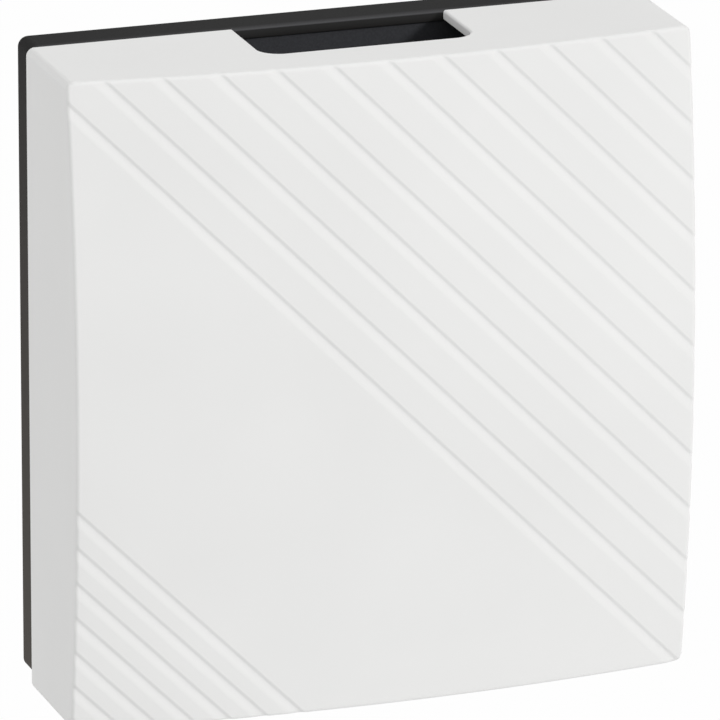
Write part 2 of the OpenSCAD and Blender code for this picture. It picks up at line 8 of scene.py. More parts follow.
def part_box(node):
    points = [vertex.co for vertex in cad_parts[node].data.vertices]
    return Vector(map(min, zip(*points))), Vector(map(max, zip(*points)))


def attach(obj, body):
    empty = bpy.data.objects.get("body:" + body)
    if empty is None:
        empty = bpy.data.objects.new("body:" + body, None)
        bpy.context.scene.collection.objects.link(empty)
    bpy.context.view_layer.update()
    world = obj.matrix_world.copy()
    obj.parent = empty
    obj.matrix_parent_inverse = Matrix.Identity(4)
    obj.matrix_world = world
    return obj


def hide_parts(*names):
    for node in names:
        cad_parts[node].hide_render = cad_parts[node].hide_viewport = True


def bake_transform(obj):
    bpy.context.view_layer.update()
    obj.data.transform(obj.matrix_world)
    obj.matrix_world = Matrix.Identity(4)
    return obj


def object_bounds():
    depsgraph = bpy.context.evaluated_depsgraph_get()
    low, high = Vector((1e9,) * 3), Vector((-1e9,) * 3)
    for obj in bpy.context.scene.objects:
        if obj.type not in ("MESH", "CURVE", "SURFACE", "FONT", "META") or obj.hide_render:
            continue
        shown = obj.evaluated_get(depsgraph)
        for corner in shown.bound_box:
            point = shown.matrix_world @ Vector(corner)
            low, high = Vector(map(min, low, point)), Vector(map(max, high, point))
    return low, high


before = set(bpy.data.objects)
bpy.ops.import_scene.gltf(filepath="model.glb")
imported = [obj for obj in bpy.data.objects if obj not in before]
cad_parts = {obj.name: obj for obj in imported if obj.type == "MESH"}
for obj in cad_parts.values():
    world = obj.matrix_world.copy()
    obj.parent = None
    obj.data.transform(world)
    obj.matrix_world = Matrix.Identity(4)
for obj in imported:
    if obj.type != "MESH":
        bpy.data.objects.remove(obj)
solid_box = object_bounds()

# Base frame: the rim that stands on the wall, crossed by a rib that carries the chassis plate.
# Dark grey ABS, injection moulded; the mould is spark-eroded, so its faces are dull and finely grained.
# The rim's front edge is well rounded, its other edges only as much as the mould's cutter leaves.
MM = 0.001
# Points nearer than CLOSE are taken as one, and edges that turn by more than SHARP stay sharp
CLOSE = 0.001 * MM
SHARP = math.radians(35)


def to_linear(colour):
    """Turns an sRGB hex colour into the linear values that a shader takes."""
    parts = [int(colour[i : i + 2], 16) / 255 for i in (1, 3, 5)]
    return [c / 12.92 if c <= 0.04045 else ((c + 0.055) / 1.055) ** 2.4 for c in parts] + [1]


def feed(tree, node, inputs):
    """Gives a node's inputs their values, or links them to the sockets given."""
    for name, value in dict(inputs).items():
        if isinstance(value, bpy.types.NodeSocket):
            tree.links.new(value, node.inputs[name])
        else:
            node.inputs[name].default_value = value


def add(tree, kind, inputs=(), **settings):
    """Adds one node to a tree, with its settings and inputs."""
    node = tree.nodes.new(kind)
    for name, value in settings.items():
        setattr(node, name, value)
    feed(tree, node, inputs)
    return node


def start_material(name):
    """A new material, its node tree, its shader and its object coordinates."""
    material = bpy.data.materials.new(name)
    material.use_nodes = True
    tree = material.node_tree
    where = add(tree, "ShaderNodeTexCoord").outputs["Object"]
    return material, tree, tree.nodes["Principled BSDF"], where


def merged_copy(node):
    """A copy of a solid's mesh, with its triangles joined into whole faces."""
    bm = bmesh.new()
    bm.from_mesh(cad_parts[node].data)
    bmesh.ops.remove_doubles(bm, verts=bm.verts, dist=CLOSE)
    bmesh.ops.dissolve_limit(bm, angle_limit=math.radians(0.5), verts=bm.verts, edges=bm.edges)
    return bm


def outer_edges(bm):
    """The sharp edges that stand out, apart from those that run into an inside corner."""
    sharp = {e for e in bm.edges if len(e.link_faces) == 2 and e.calc_face_angle(0) > SHARP}
    inside = {v for e in sharp if not e.is_convex for v in e.verts}
    return [e for e in sharp if e.is_convex and not inside.intersection(e.verts)]


def ease(bm, radius, steps=2, edges=None):
    """Rounds the edges given, or all the outer ones."""
    bmesh.ops.bevel(
        bm, geom=outer_edges(bm) if edges is None else edges, offset=radius, offset_type="OFFSET",
        affect="EDGES", segments=steps, profile=0.5, material=-1, clamp_overlap=False, loop_slide=False,
    )
    return bm


def cut(bm, point, normal, faces=None, clear=False):
    """Cuts a mesh, or some of its faces, along a plane, and can clear what lies past it."""
    faces = bm.faces[:] if faces is None else faces
    parts = set(faces)
    for face in faces:
        parts.update(face.edges)
        parts.update(face.verts)
    bmesh.ops.bisect_plane(
        bm, geom=list(parts), dist=0.1 * CLOSE, plane_co=point, plane_no=normal, clear_outer=clear
    )


def inside_outline(point, half_x, half_z, corner_r):
    """How far a point lies inside a rectangle with rounded corners, seen from the front."""
    dx = abs(point.x) - (half_x - corner_r)
    dz = abs(point.z) - (half_z - corner_r)
    if dx > 0 and dz > 0:
        return corner_r - math.hypot(dx, dz)
    return corner_r - max(dx, dz)


def edge_drop(inset, radius):
    """How far a rounded edge falls back, at a distance in from the outline."""
    inset = min(max(inset, 0), radius)
    return radius - math.sqrt(radius**2 - (radius - inset) ** 2)


def make_piece(name, bm, material, slot, body, *nodes):
    """Turns a finished bmesh into a smooth-shaded piece that rides on a body and stands for its solids."""
    mesh = bpy.data.meshes.new(name)
    bm.to_mesh(mesh)
    bm.free()
    mesh.materials.append(material)
    mesh.shade_smooth()
    mesh.set_sharp_from_angle(angle=SHARP)
    piece = bpy.data.objects.new(name, mesh)
    bpy.context.scene.collection.objects.link(piece)
    flat_faces = piece.modifiers.new("flat_faces", "WEIGHTED_NORMAL")
    flat_faces.keep_sharp = True
    if body:
        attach(piece, body)
    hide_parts(*nodes)
    return piece


base_low, base_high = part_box("base")
rim_front = base_low.y
rim_corner_r = 2.3 * MM
rim_edge_r = 1.3 * MM
# Shares of the rounded edge, from the outside in, where the rim's front is cut into strips
edge_strips = [0.02, 0.08, 0.18, 0.31, 0.5, 0.74, 1]


def on_rim_front(corners):
    """Whether some corners all lie on the rim's flat front."""
    return all(abs(v.co.y - rim_front) < 2 * CLOSE for v in corners)


bm = merged_copy("base")
for share in edge_strips + [rim_corner_r / rim_edge_r]:
    inset = share * rim_edge_r
    for side in (-1, 1):
        rim = [f for f in bm.faces if on_rim_front(f.verts)]
        cut(bm, (side * (base_high.x - inset), 0, 0), (1, 0, 0), rim)
        rim = [f for f in bm.faces if on_rim_front(f.verts)]
        cut(bm, (0, 0, side * (base_high.z - inset)), (0, 0, 1), rim)
for v in bm.verts:
    if on_rim_front([v]):
        v.co.y += edge_drop(inside_outline(v.co, base_high.x, base_high.z, rim_corner_r), rim_edge_r)
bm.normal_update()
ease(bm, radius=0.2 * MM)

# Spark-eroded dark ABS: dull, with a fine even grain and a faint cloudiness in its grey
dark_abs, tree, shader, where = start_material("dark_abs_spark_eroded")
cloud = add(tree, "ShaderNodeTexNoise", {"Vector": where, "Scale": 1 / (25 * MM), "Detail": 3})
# A colour Mix takes its share at input 0 and its colours at 6 and 7, and gives its result at output 2
tone = add(
    tree, "ShaderNodeMix", {0: cloud.outputs["Fac"], 6: to_linear("#232323"), 7: to_linear("#292929")},
    data_type="RGBA",
)
place = add(tree, "ShaderNodeSeparateXYZ", {"Vector": where})
# Painted light from below: the grey is drawn warmer and paler towards the foot, where light from the floor
# would fall
foot_light_half = 74 * MM
painted_foot_light = add(
    tree, "ShaderNodeMapRange", {"Value": place.outputs["Z"], "From Min": foot_light_half, "From Max": -foot_light_half}
)
painted_foot_light = add(tree, "ShaderNodeMath", {0: painted_foot_light.outputs["Result"], 1: 0.65}, operation="POWER")
tone = add(
    tree, "ShaderNodeMix", {0: painted_foot_light.outputs[0], 6: tone.outputs[2], 7: to_linear("#55514D")},
    data_type="RGBA",
)
# Painted highlight: the rim's rounded front edge is drawn paler, most of all at one depth from the wall,
# where a lamp's highlight would lie
depth = place.outputs["Y"]
highlight_start = -7.8 * MM
highlight_peak = -10.9 * MM
highlight_end = -11.4 * MM
highlight_rise = add(
    tree, "ShaderNodeMapRange",
    {"Value": depth, "From Min": highlight_start, "From Max": highlight_peak, "To Max": 0.42},
)
highlight_fall = add(
    tree, "ShaderNodeMapRange", {"Value": depth, "From Min": highlight_end, "From Max": highlight_peak},
    interpolation_type="SMOOTHSTEP",
)
painted_highlight = add(
    tree, "ShaderNodeMath", {0: highlight_rise.outputs["Result"], 1: highlight_fall.outputs["Result"]},
    operation="MULTIPLY",
)
tone = add(
    tree, "ShaderNodeMix", {0: painted_highlight.outputs[0], 6: tone.outputs[2], 7: to_linear("#67676A")},
    data_type="RGBA",
)
# The real grain is about 0.1 mm; it is drawn at 0.4 mm so that it shows
grain = add(tree, "ShaderNodeTexNoise", {"Vector": where, "Scale": 1 / (0.4 * MM), "Detail": 2})
dull = add(tree, "ShaderNodeMapRange", {"Value": grain.outputs["Fac"], "To Min": 0.58, "To Max": 0.74})
skin = add(tree, "ShaderNodeBump", {"Height": grain.outputs["Fac"], "Strength": 0.35, "Distance": 0.03 * MM})
feed(tree, shader, {"Base Color": tone.outputs[2], "Roughness": dull.outputs["Result"], "IOR": 1.53})
feed(tree, shader, {"Normal": skin.outputs["Normal"], "Specular IOR Level": 0.03})

make_piece("base_frame", bm, dark_abs, "dark_abs", "base", "base")

# Wall spacers: four tubes on the wall screws, between the wall and the chassis plate.
# Natural nylon, cut from extruded tube; the wall screws hold them.
bm = ease(merged_copy("wall_spacers"), radius=0.3 * MM)

# Natural nylon: milky and half glossy, a little warm, with a faint cloud in it
nylon, tree, shader, where = start_material("natural_nylon_half_gloss")
cloud = add(tree, "ShaderNodeTexNoise", {"Vector": where, "Scale": 1 / (5 * MM), "Detail": 3})
tone = add(
    tree, "ShaderNodeMix", {0: cloud.outputs["Fac"], 6: to_linear("#D8D0BC"), 7: to_linear("#EDE8DA")},
    data_type="RGBA",
)
gloss = add(tree, "ShaderNodeMapRange", {"Value": cloud.outputs["Fac"], "To Min": 0.28, "To Max": 0.42})
feed(tree, shader, {"Base Color": tone.outputs[2], "Roughness": gloss.outputs["Result"], "IOR": 1.53})
feed(tree, shader, {"Subsurface Weight": 0.12, "Subsurface Scale": 1.5 * MM})

make_piece("wall_spacer_tubes", bm, nylon, "nylon", "base", "wall_spacers")

# Chassis plate: lies on the rib inside the rim, with the cover's tongues and the tone plates' lugs on it.
# Charcoal ABS in one moulding; the solenoid's foot screws hold it to the base's rib.
bm = ease(merged_copy("chassis_plate"), radius=0.25 * MM)

# Charcoal ABS: a little bluer than the base, and paler by painted light so that it shows lit in the slot;
# dull, with a coarse speckled grain
charcoal_abs, tree, shader, where = start_material("charcoal_abs_grained")
# The real grain is about 0.15 mm; it is drawn at 0.45 mm so that it shows
grain = add(tree, "ShaderNodeTexNoise", {"Vector": where, "Scale": 1 / (0.45 * MM), "Detail": 2})
tone = add(
    tree, "ShaderNodeMix", {0: grain.outputs["Fac"], 6: to_linear("#36373A"), 7: to_linear("#48494D")},
    data_type="RGBA",
)
dull = add(tree, "ShaderNodeMapRange", {"Value": grain.outputs["Fac"], "To Min": 0.58, "To Max": 0.74})
skin = add(tree, "ShaderNodeBump", {"Height": grain.outputs["Fac"], "Strength": 0.4, "Distance": 0.04 * MM})
feed(tree, shader, {"Base Color": tone.outputs[2], "Roughness": dull.outputs["Result"], "IOR": 1.53})
feed(tree, shader, {"Normal": skin.outputs["Normal"], "Specular IOR Level": 0.1})

make_piece("chassis_moulding", bm, charcoal_abs, "charcoal_abs", "base", "chassis_plate")

# Cable grommet: the soft ring that the bell wire comes through, from behind.
# Black rubber, moulded; it is pressed into the chassis plate's hole, with a flange on each side.
bm = ease(merged_copy("cable_grommet"), radius=0.5 * MM, steps=3)

# Black rubber: dull, slightly bloomed with grey, with a fine pitted skin
rubber, tree, shader, where = start_material("black_rubber_moulded")
bloom = add(tree, "ShaderNodeTexNoise", {"Vector": where, "Scale": 1 / (3 * MM), "Detail": 4})
tone = add(
    tree, "ShaderNodeMix", {0: bloom.outputs["Fac"], 6: to_linear("#171717"), 7: to_linear("#2B2A29")},
    data_type="RGBA",
)
dull = add(tree, "ShaderNodeMapRange", {"Value": bloom.outputs["Fac"], "To Min": 0.6, "To Max": 0.8})
# The real pits are about 0.05 mm; they are drawn at 0.3 mm so that they show
pits = add(tree, "ShaderNodeTexNoise", {"Vector": where, "Scale": 1 / (0.3 * MM), "Detail": 2})
skin = add(tree, "ShaderNodeBump", {"Height": pits.outputs["Fac"], "Strength": 0.3, "Distance": 0.03 * MM})
feed(tree, shader, {"Base Color": tone.outputs[2], "Roughness": dull.outputs["Result"], "IOR": 1.52})
feed(tree, shader, {"Normal": skin.outputs["Normal"], "Specular IOR Level": 0.3})

make_piece("cable_grommet_ring", bm, rubber, "black_rubber", "base", "cable_grommet")

# Terminal block: three bays between upright ribs, where the bell wires and the coil's leads meet.
# Grey-white moulded nylon; an ear at each end takes a screw through the chassis plate.
bm = ease(merged_copy("terminal_block"), radius=0.3 * MM)

# Filled nylon, moulded: off-white and dull, with pale flow marks
block_nylon, tree, shader, where = start_material("filled_nylon_moulded")
flow = add(
    tree, "ShaderNodeTexNoise", {"Vector": where, "Scale": 1 / (8 * MM), "Detail": 4, "Distortion": 1.5}
)
tone = add(
    tree, "ShaderNodeMix", {0: flow.outputs["Fac"], 6: to_linear("#CFCDC4"), 7: to_linear("#E6E4DC")},
    data_type="RGBA",
)
# The real grain is about 0.1 mm; it is drawn at 0.4 mm so that it shows
grain = add(tree, "ShaderNodeTexNoise", {"Vector": where, "Scale": 1 / (0.4 * MM), "Detail": 2})
dull = add(tree, "ShaderNodeMapRange", {"Value": grain.outputs["Fac"], "To Min": 0.4, "To Max": 0.55})
skin = add(tree, "ShaderNodeBump", {"Height": grain.outputs["Fac"], "Strength": 0.2, "Distance": 0.02 * MM})
feed(tree, shader, {"Base Color": tone.outputs[2], "Roughness": dull.outputs["Result"], "IOR": 1.53})
feed(tree, shader, {"Normal": skin.outputs["Normal"]})

make_piece("terminal_block_moulding", bm, block_nylon, "block_nylon", "base", "terminal_block")

# Terminal clamps: the three plates that press a wire on the block, one in each bay.
# Brass strip, rolled and stamped; each is held by its terminal screw.
bm = ease(merged_copy("terminal_clamps"), radius=0.2 * MM)

# Rolled brass: warm and half bright, with fine lines along the strip and slightly dulled patches
brass, tree, shader, where = start_material("brass_rolled")
tarnish = add(tree, "ShaderNodeTexNoise", {"Vector": where, "Scale": 1 / (6 * MM), "Detail": 4})
tone = add(
    tree, "ShaderNodeMix", {0: tarnish.outputs["Fac"], 6: to_linear("#B8924A"), 7: to_linear("#DCBC72")},
    data_type="RGBA",
)
# The rolling lines run along X; the real ones, about 0.03 mm apart, are drawn at 0.25 mm so that they show
stretch = add(
    tree, "ShaderNodeMapping", {"Vector": where, "Scale": (1 / (12 * MM), 1 / (0.25 * MM), 1 / (0.25 * MM))}
)
lines = add(tree, "ShaderNodeTexNoise", {"Vector": stretch.outputs["Vector"], "Scale": 1, "Detail": 2})
sheen = add(tree, "ShaderNodeMapRange", {"Value": lines.outputs["Fac"], "To Min": 0.2, "To Max": 0.42})
skin = add(tree, "ShaderNodeBump", {"Height": lines.outputs["Fac"], "Strength": 0.15, "Distance": 0.02 * MM})
feed(tree, shader, {"Base Color": tone.outputs[2], "Roughness": sheen.outputs["Result"], "Metallic": 1})
feed(tree, shader, {"Normal": skin.outputs["Normal"]})

make_piece("terminal_clamp_plates", bm, brass, "brass", "base", "terminal_clamps")

# Terminal and block screws, with the two nuts behind the chassis plate.
# Steel, cold headed and thread rolled, bright zinc plated; slotted pan heads.
# The terminal screws go into the block, the block's own go through the chassis plate into the nuts.
head_round = 0.8 * MM


def screws(node, head_way):
    """Screws with domed heads: the top rim is well rounded, the slot and the rest only eased."""
    bm = merged_copy(node)
    rims = []
    for edge in outer_edges(bm):
        on_top = any(f.normal.dot(head_way(f.calc_center_median())) > 0.99 for f in edge.link_faces)
        if on_top and edge.calc_length() < head_round:
            rims.append(edge)
    ease(bm, radius=head_round, steps=5, edges=rims)
    return ease(bm, radius=0.1 * MM)


def forward(place):
    """The way a head looks when its screw goes in from the front."""
    return Vector((0, -1, 0))


# Bright zinc on steel: cool and fairly bright, with a faint blue cast and soft cloudy patches
zinc, tree, shader, where = start_material("steel_bright_zinc_plated")
cloud = add(tree, "ShaderNodeTexNoise", {"Vector": where, "Scale": 1 / (2 * MM), "Detail": 4})
tone = add(
    tree, "ShaderNodeMix", {0: cloud.outputs["Fac"], 6: to_linear("#B9BCC0"), 7: to_linear("#DADBDC")},
    data_type="RGBA",
)
bright = add(tree, "ShaderNodeMapRange", {"Value": cloud.outputs["Fac"], "To Min": 0.18, "To Max": 0.36})
feed(tree, shader, {"Base Color": tone.outputs[2], "Roughness": bright.outputs["Result"], "Metallic": 1})

bm = screws("terminal_screws", forward)
make_piece("terminal_pan_screws", bm, zinc, "screw_steel", "base", "terminal_screws")
bm = screws("block_screws", forward)
make_piece("block_pan_screws", bm, zinc, "screw_steel", "base", "block_screws")
bm = ease(merged_copy("block_nuts"), radius=0.2 * MM)
make_piece("block_hex_nuts", bm, zinc, "screw_steel", "base", "block_nuts")

# Solenoid frame: the yoke that holds the coil and leads its field to the plunger's ends.
# Mild steel strip, punched and bent, with yellow-passivated zinc; two screws hold its feet.
bm = ease(merged_copy("solenoid_frame"), radius=0.2 * MM)

# Passivated zinc on strip: pale yellow-grey with faint rainbow patches and rolling lines along the strip
yoke_steel, tree, shader, where = start_material("steel_strip_yellow_zinc")
patch = add(
    tree, "ShaderNodeTexNoise", {"Vector": where, "Scale": 1 / (9 * MM), "Detail": 3, "Distortion": 0.8}
)
tone = add(
    tree, "ShaderNodeMix", {0: patch.outputs["Fac"], 6: to_linear("#A9A58E"), 7: to_linear("#D3CBA4")},
    data_type="RGBA",
)
# The rolling lines run along X; the real ones, about 0.03 mm apart, are drawn at 0.3 mm so that they show
stretch = add(
    tree, "ShaderNodeMapping", {"Vector": where, "Scale": (1 / (15 * MM), 1 / (0.3 * MM), 1 / (0.3 * MM))}
)
lines = add(tree, "ShaderNodeTexNoise", {"Vector": stretch.outputs["Vector"], "Scale": 1, "Detail": 2})
sheen = add(tree, "ShaderNodeMapRange", {"Value": lines.outputs["Fac"], "To Min": 0.24, "To Max": 0.44})
skin = add(tree, "ShaderNodeBump", {"Height": lines.outputs["Fac"], "Strength": 0.15, "Distance": 0.02 * MM})
feed(tree, shader, {"Base Color": tone.outputs[2], "Roughness": sheen.outputs["Result"], "Metallic": 1})
feed(tree, shader, {"Normal": skin.outputs["Normal"]})

make_piece("solenoid_yoke", bm, yoke_steel, "frame_steel", "base", "solenoid_frame")
bm = screws("frame_screws", forward)
make_piece("yoke_pan_screws", bm, zinc, "screw_steel", "base", "frame_screws")

# Coil bobbin: the spool that the coil is wound on, with a post under each flange for a lead.
# Natural nylon, moulded; it sits between the yoke's two uprights, on the guide tube.
bm = ease(merged_copy("coil_bobbin"), radius=0.2 * MM)
make_piece("coil_spool", bm, nylon, "nylon", "base", "coil_bobbin")

# Coil winding: the layers of wire on the bobbin, under the tape.
# Enamelled copper wire, machine wound.
bm = merged_copy("coil_winding")

# Enamelled copper: red-brown and glossy, with the wire's turns as fine ribs along the coil
copper, tree, shader, where = start_material("copper_wire_enamelled")
# The real wire is about 0.25 mm thick; its turns are drawn 0.5 mm apart so that they show
turn_pitch = 0.5 * MM
turns = add(
    tree, "ShaderNodeTexWave", {"Vector": where, "Scale": math.pi / (10 * turn_pitch)}, bands_direction="X"
)
# Painted shade and highlight: the colour follows the turns, dark between them and pale on their crowns
tone = add(
    tree, "ShaderNodeMix", {0: turns.outputs["Fac"], 6: to_linear("#5E2413"), 7: to_linear("#A5512B")},
    data_type="RGBA",
)
ribs = add(tree, "ShaderNodeBump", {"Height": turns.outputs["Fac"], "Strength": 0.6, "Distance": 0.1 * MM})
feed(tree, shader, {"Base Color": tone.outputs[2], "Roughness": 0.3, "IOR": 1.6})
feed(tree, shader, {"Normal": ribs.outputs["Normal"]})

make_piece("coil_wire_layers", bm, copper, "copper_wire", "base", "coil_winding")

# Coil tape: two turns of film that keep the winding together, with the outer end lapped over.
# Amber polyester film with a sticky back, wound on by hand.
tape_low, tape_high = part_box("coil_tape")
axis_y = (tape_low.y + tape_high.y) / 2
tape_r = tape_high.z
wind_clear = 0.08 * MM
tape_inner_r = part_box("coil_winding")[1].z + wind_clear
lap_t = 0.25 * MM
tape_steps = 96
# The film's cut end is spun once round the coil, and its outer face climbs as it goes, to lap over its start
bm = bmesh.new()
bmesh.ops.create_grid(bm, x_segments=1, y_segments=1, size=0.5)
for v in bm.verts:
    v.co = (
        tape_low.x if v.co.x < 0 else tape_high.x,
        axis_y,
        tape_inner_r if v.co.y < 0 else tape_r,
    )
first_end = bm.verts[:]
spun = bmesh.ops.spin(
    bm, geom=bm.verts[:] + bm.edges[:] + bm.faces[:], cent=(0, axis_y, 0), axis=(1, 0, 0), angle=2 * math.pi,
    steps=tape_steps,
)
last_end = {v for v in spun["geom_last"] if isinstance(v, bmesh.types.BMVert)}
for v in bm.verts:
    out = Vector((0, v.co.y - axis_y, v.co.z))
    turned = math.atan2(-out.y, out.z) % (2 * math.pi) / (2 * math.pi)
    turned = 1 if v in last_end else 0 if v in first_end else turned
    if out.length > (tape_inner_r + tape_r) / 2:
        v.co += out.normalized() * lap_t * turned
bmesh.ops.recalc_face_normals(bm, faces=bm.faces)

# Polyester film: amber, smooth and shiny, darker where the winding's turns press through
film, tree, shader, where = start_material("polyester_film_amber")
# The turns beneath are drawn 1.2 mm apart, broader than they are, so that they show
press_pitch = 1.2 * MM
press = add(
    tree, "ShaderNodeTexWave", {"Vector": where, "Scale": math.pi / (10 * press_pitch), "Distortion": 1.2},
    bands_direction="X",
)
cloud = add(tree, "ShaderNodeTexNoise", {"Vector": where, "Scale": 1 / (7 * MM), "Detail": 3})
tone = add(
    tree, "ShaderNodeMix", {0: cloud.outputs["Fac"], 6: to_linear("#B0801E"), 7: to_linear("#D9B04A")},
    data_type="RGBA",
)
skin = add(tree, "ShaderNodeBump", {"Height": press.outputs["Fac"], "Strength": 0.25, "Distance": 0.06 * MM})
gloss = add(tree, "ShaderNodeMapRange", {"Value": cloud.outputs["Fac"], "To Min": 0.16, "To Max": 0.28})
feed(tree, shader, {"Base Color": tone.outputs[2], "Roughness": gloss.outputs["Result"], "IOR": 1.6})
feed(tree, shader, {"Normal": skin.outputs["Normal"], "Coat Weight": 0.4, "Coat Roughness": 0.1})

make_piece("coil_tape_wrap", bm, film, "tape", "base", "coil_tape")

# Guide tube: the smooth bore that the plunger runs in, through the bobbin and both uprights.
# Thin brass tube, drawn and cut off square; it also keeps the bobbin in line with the yoke.
bm = ease(merged_copy("guide_tube"), radius=0.2 * MM)
make_piece("plunger_guide", bm, brass, "brass", "base", "guide_tube")

# Plunger core: the rod that the coil pulls to the right, with a blind hole in each end.
# Free-cutting steel, turned from bar and lightly oiled.
bm = ease(merged_copy("plunger_core"), radius=0.3 * MM)

# Turned steel: grey, with fine rings along its length and a dark oily film in patches
core_steel, tree, shader, where = start_material("steel_turned_oiled")
oil = add(tree, "ShaderNodeTexNoise", {"Vector": where, "Scale": 1 / (5 * MM), "Detail": 4})
tone = add(
    tree, "ShaderNodeMix", {0: oil.outputs["Fac"], 6: to_linear("#767776"), 7: to_linear("#A9A9A7")},
    data_type="RGBA",
)
# The real tool marks are about 0.1 mm apart; they are drawn at 0.35 mm so that they show
mark_pitch = 0.35 * MM
marks = add(
    tree, "ShaderNodeTexWave", {"Vector": where, "Scale": math.pi / (10 * mark_pitch), "Distortion": 0.6},
    bands_direction="X",
)
skin = add(tree, "ShaderNodeBump", {"Height": marks.outputs["Fac"], "Strength": 0.2, "Distance": 0.02 * MM})
sheen = add(tree, "ShaderNodeMapRange", {"Value": oil.outputs["Fac"], "To Min": 0.22, "To Max": 0.4})
feed(tree, shader, {"Base Color": tone.outputs[2], "Roughness": sheen.outputs["Result"], "Metallic": 1})
feed(tree, shader, {"Normal": skin.outputs["Normal"]})

make_piece("plunger_rod", bm, core_steel, "core_steel", "striker", "plunger_core")

# Plunger collar and striker tips: the ring that the spring pushes on, and the hammers that ring the plates.
# Natural nylon, turned; the collar is pressed on the core, and each tip's spigot is pressed into its end.
bm = ease(merged_copy("plunger_collar"), radius=0.3 * MM)
make_piece("plunger_ring", bm, nylon, "nylon", "striker", "plunger_collar")
for side in ("left", "right"):
    bm = ease(merged_copy("striker_tip_" + side), radius=0.3 * MM, steps=3)
    make_piece("hammer_" + side, bm, nylon, "nylon", "striker", "striker_tip_" + side)

# Return spring: pushes the plunger back to the left when the coil lets go; here it is drawn at one length.
# Spring steel wire, cold coiled; it is trapped between the yoke's left upright and the collar.
spring_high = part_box("return_spring")[1]
wire_r = 0.3 * MM
coil_r = spring_high.z - wire_r
spring_end_gap = 0.15 * MM
# How far the guide tube stands out of the upright, inside the spring
tube_reach = 1.4 * MM
spring_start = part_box("plunger_collar")[1].x + spring_end_gap + wire_r
spring_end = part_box("guide_tube")[0].x + tube_reach - spring_end_gap - wire_r
spring_turns = 6
steps_per_turn = 40
bm = bmesh.new()
at_start = Matrix.Translation((spring_start, axis_y + coil_r, 0))
bmesh.ops.create_circle(bm, cap_ends=True, segments=12, radius=wire_r, matrix=at_start)
pitch = (spring_end - spring_start) / spring_turns
bmesh.ops.spin(
    bm, geom=bm.verts[:] + bm.edges[:] + bm.faces[:], cent=(0, axis_y, 0), axis=(1, 0, 0),
    dvec=(pitch / steps_per_turn, 0, 0), angle=2 * math.pi * spring_turns,
    steps=spring_turns * steps_per_turn,
)
bmesh.ops.recalc_face_normals(bm, faces=bm.faces)

# Drawn spring wire: grey and fairly bright, with fine draw lines that show as a soft streak
spring_steel, tree, shader, where = start_material("spring_wire_drawn")
streak = add(tree, "ShaderNodeTexNoise", {"Vector": where, "Scale": 1 / (1.5 * MM), "Detail": 4})
tone = add(
    tree, "ShaderNodeMix", {0: streak.outputs["Fac"], 6: to_linear("#93948F"), 7: to_linear("#C4C4C1")},
    data_type="RGBA",
)
bright = add(tree, "ShaderNodeMapRange", {"Value": streak.outputs["Fac"], "To Min": 0.2, "To Max": 0.36})
feed(tree, shader, {"Base Color": tone.outputs[2], "Roughness": bright.outputs["Result"], "Metallic": 1})

spring = make_piece("plunger_spring", bm, spring_steel, "spring_steel", None, "return_spring")
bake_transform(spring)

# Coil leads: the wires from the coil's ends, down to the two outer terminal clamps.
# Stranded copper in PVC, red on the left and blue on the right; each end is held by a post or a clamp.
lead_r = 0.5 * MM
lead_start = Vector((-19.2, axis_y / MM, -14.5)) * MM
lead_end = Vector((-14, -18, -46.5)) * MM
# The lead's course, as shares of its way across, back and down
lead_course = [
    (0, 0, 0), (0, 0, 0.08), (0.04, 0.29, 0.23), (0.33, 0.82, 0.42), (0.71, 1, 0.64), (1, 1, 0.83), (1, 1, 1)
]
lead_colours = {"left": ("red", "#8E1616", "#B52A25"), "right": ("blue", "#173C86", "#2A5BB0")}
for side, (colour, dark, light) in lead_colours.items():
    route = bpy.data.curves.new("lead_route", "CURVE")
    route.dimensions = "3D"
    route.bevel_depth = lead_r
    route.bevel_resolution = 4
    route.use_fill_caps = True
    spline = route.splines.new("BEZIER")
    spline.bezier_points.add(len(lead_course) - 1)
    for point, share in zip(spline.bezier_points, lead_course):
        point.co = [a + s * (b - a) for a, s, b in zip(lead_start, share, lead_end)]
        point.co.x *= 1 if side == "left" else -1
        point.handle_left_type = "AUTO"
        point.handle_right_type = "AUTO"
    route_object = bpy.data.objects.new("lead_route", route)
    lead_mesh = bpy.data.meshes.new_from_object(route_object)
    bm = bmesh.new()
    bm.from_mesh(lead_mesh)
    bmesh.ops.remove_doubles(bm, verts=bm.verts, dist=CLOSE)
    bpy.data.objects.remove(route_object)
    bpy.data.curves.remove(route)
    bpy.data.meshes.remove(lead_mesh)

    # Extruded PVC: even and half glossy, with a faint unevenness along the wire
    pvc, tree, shader, where = start_material(colour + "_pvc_extruded")
    uneven = add(tree, "ShaderNodeTexNoise", {"Vector": where, "Scale": 1 / (2 * MM), "Detail": 2})
    tone = add(
        tree, "ShaderNodeMix", {0: uneven.outputs["Fac"], 6: to_linear(dark), 7: to_linear(light)},
        data_type="RGBA",
    )
    gloss = add(tree, "ShaderNodeMapRange", {"Value": uneven.outputs["Fac"], "To Min": 0.3, "To Max": 0.45})
    feed(tree, shader, {"Base Color": tone.outputs[2], "Roughness": gloss.outputs["Result"], "IOR": 1.53})
    make_piece("coil_wire_" + side, bm, pvc, colour + "_pvc", "base", "coil_lead_" + side)

# Tone plates: the two bars that sound, the longer and lower one on the left.
# Cold-rolled steel, cropped from bar, tumbled and zinc plated; each hangs on grommets at its still points.

# Zinc on brushed bar: silver-grey, with fine lines along the bar and soft cloudy patches
bar_steel, tree, shader, where = start_material("steel_bar_zinc_plated")
cloud = add(tree, "ShaderNodeTexNoise", {"Vector": where, "Scale": 1 / (12 * MM), "Detail": 4})
tone = add(
    tree, "ShaderNodeMix", {0: cloud.outputs["Fac"], 6: to_linear("#B4B5B3"), 7: to_linear("#D6D6D2")},
    data_type="RGBA",
)
